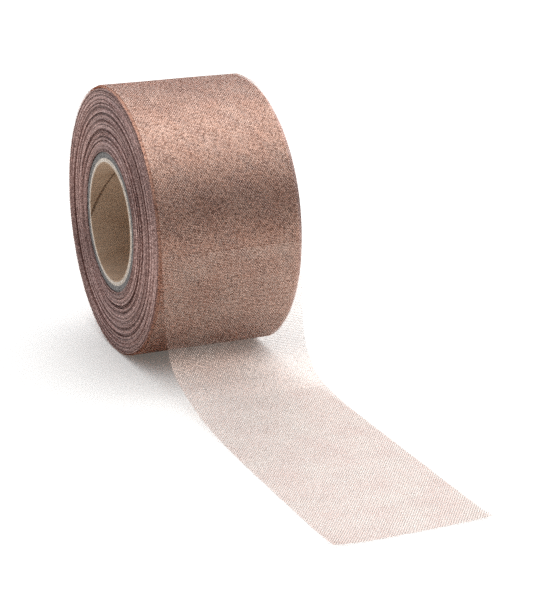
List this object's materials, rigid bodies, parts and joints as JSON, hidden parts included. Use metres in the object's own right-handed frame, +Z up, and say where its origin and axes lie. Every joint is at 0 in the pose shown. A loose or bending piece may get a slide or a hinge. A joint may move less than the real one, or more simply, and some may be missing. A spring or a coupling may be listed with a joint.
{
  "type": "wire mesh ribbon roll",
  "caption": "Roll of woven copper wire mesh ribbon on a layered paper core. The lead swings round the roll as it peels off, and its free end lies out on the bench and lifts.",
  "frame": {"origin": "on the axis of the core's bore, at the middle of the width of the outermost wound turns", "axes": "+X is the way the free end runs from the roll, +Y is the roll's axis, +Z is up"},
  "size_m": [0.223, 0.0516, 0.0925],
  "materials": {
    "copper_mesh": "woven from fine copper wire, see-through in one layer",
    "kraft": "brown kraft paper with a spiral seam",
    "cream_board": "cream paperboard, cut edge",
    "grey_board": "grey paperboard, cut edge",
    "paper_tape": "thin crepe paper tape"
  },
  "bodies": {
    "roll": {"core_liner": "kraft", "cream_ply_inner": "cream_board", "cream_ply_outer": "cream_board", "grey_ply_1": "grey_board", "grey_ply_2": "grey_board", "grey_ply_3": "grey_board", "core_wrap": "grey_board", "anchor_tape": "paper_tape", "wound_ribbon": "copper_mesh", "outer_turn": "copper_mesh"},
    "lead": {"lead_bend": "copper_mesh"},
    "free_end": {"lead_flat": "copper_mesh"}
  },
  "joints": [
    {"name": "lead_swing", "type": "hinge", "parent": "roll", "child": "lead", "pos_m": [0, 0, 0], "axis": [0, -1, 0], "range_deg": [0, 90]},
    {"name": "lead_lift", "type": "hinge", "parent": "lead", "child": "free_end", "pos_m": [0.08108, 0, -0.046], "axis": [0, -1, 0], "range_deg": [0, 60]}
  ]
}
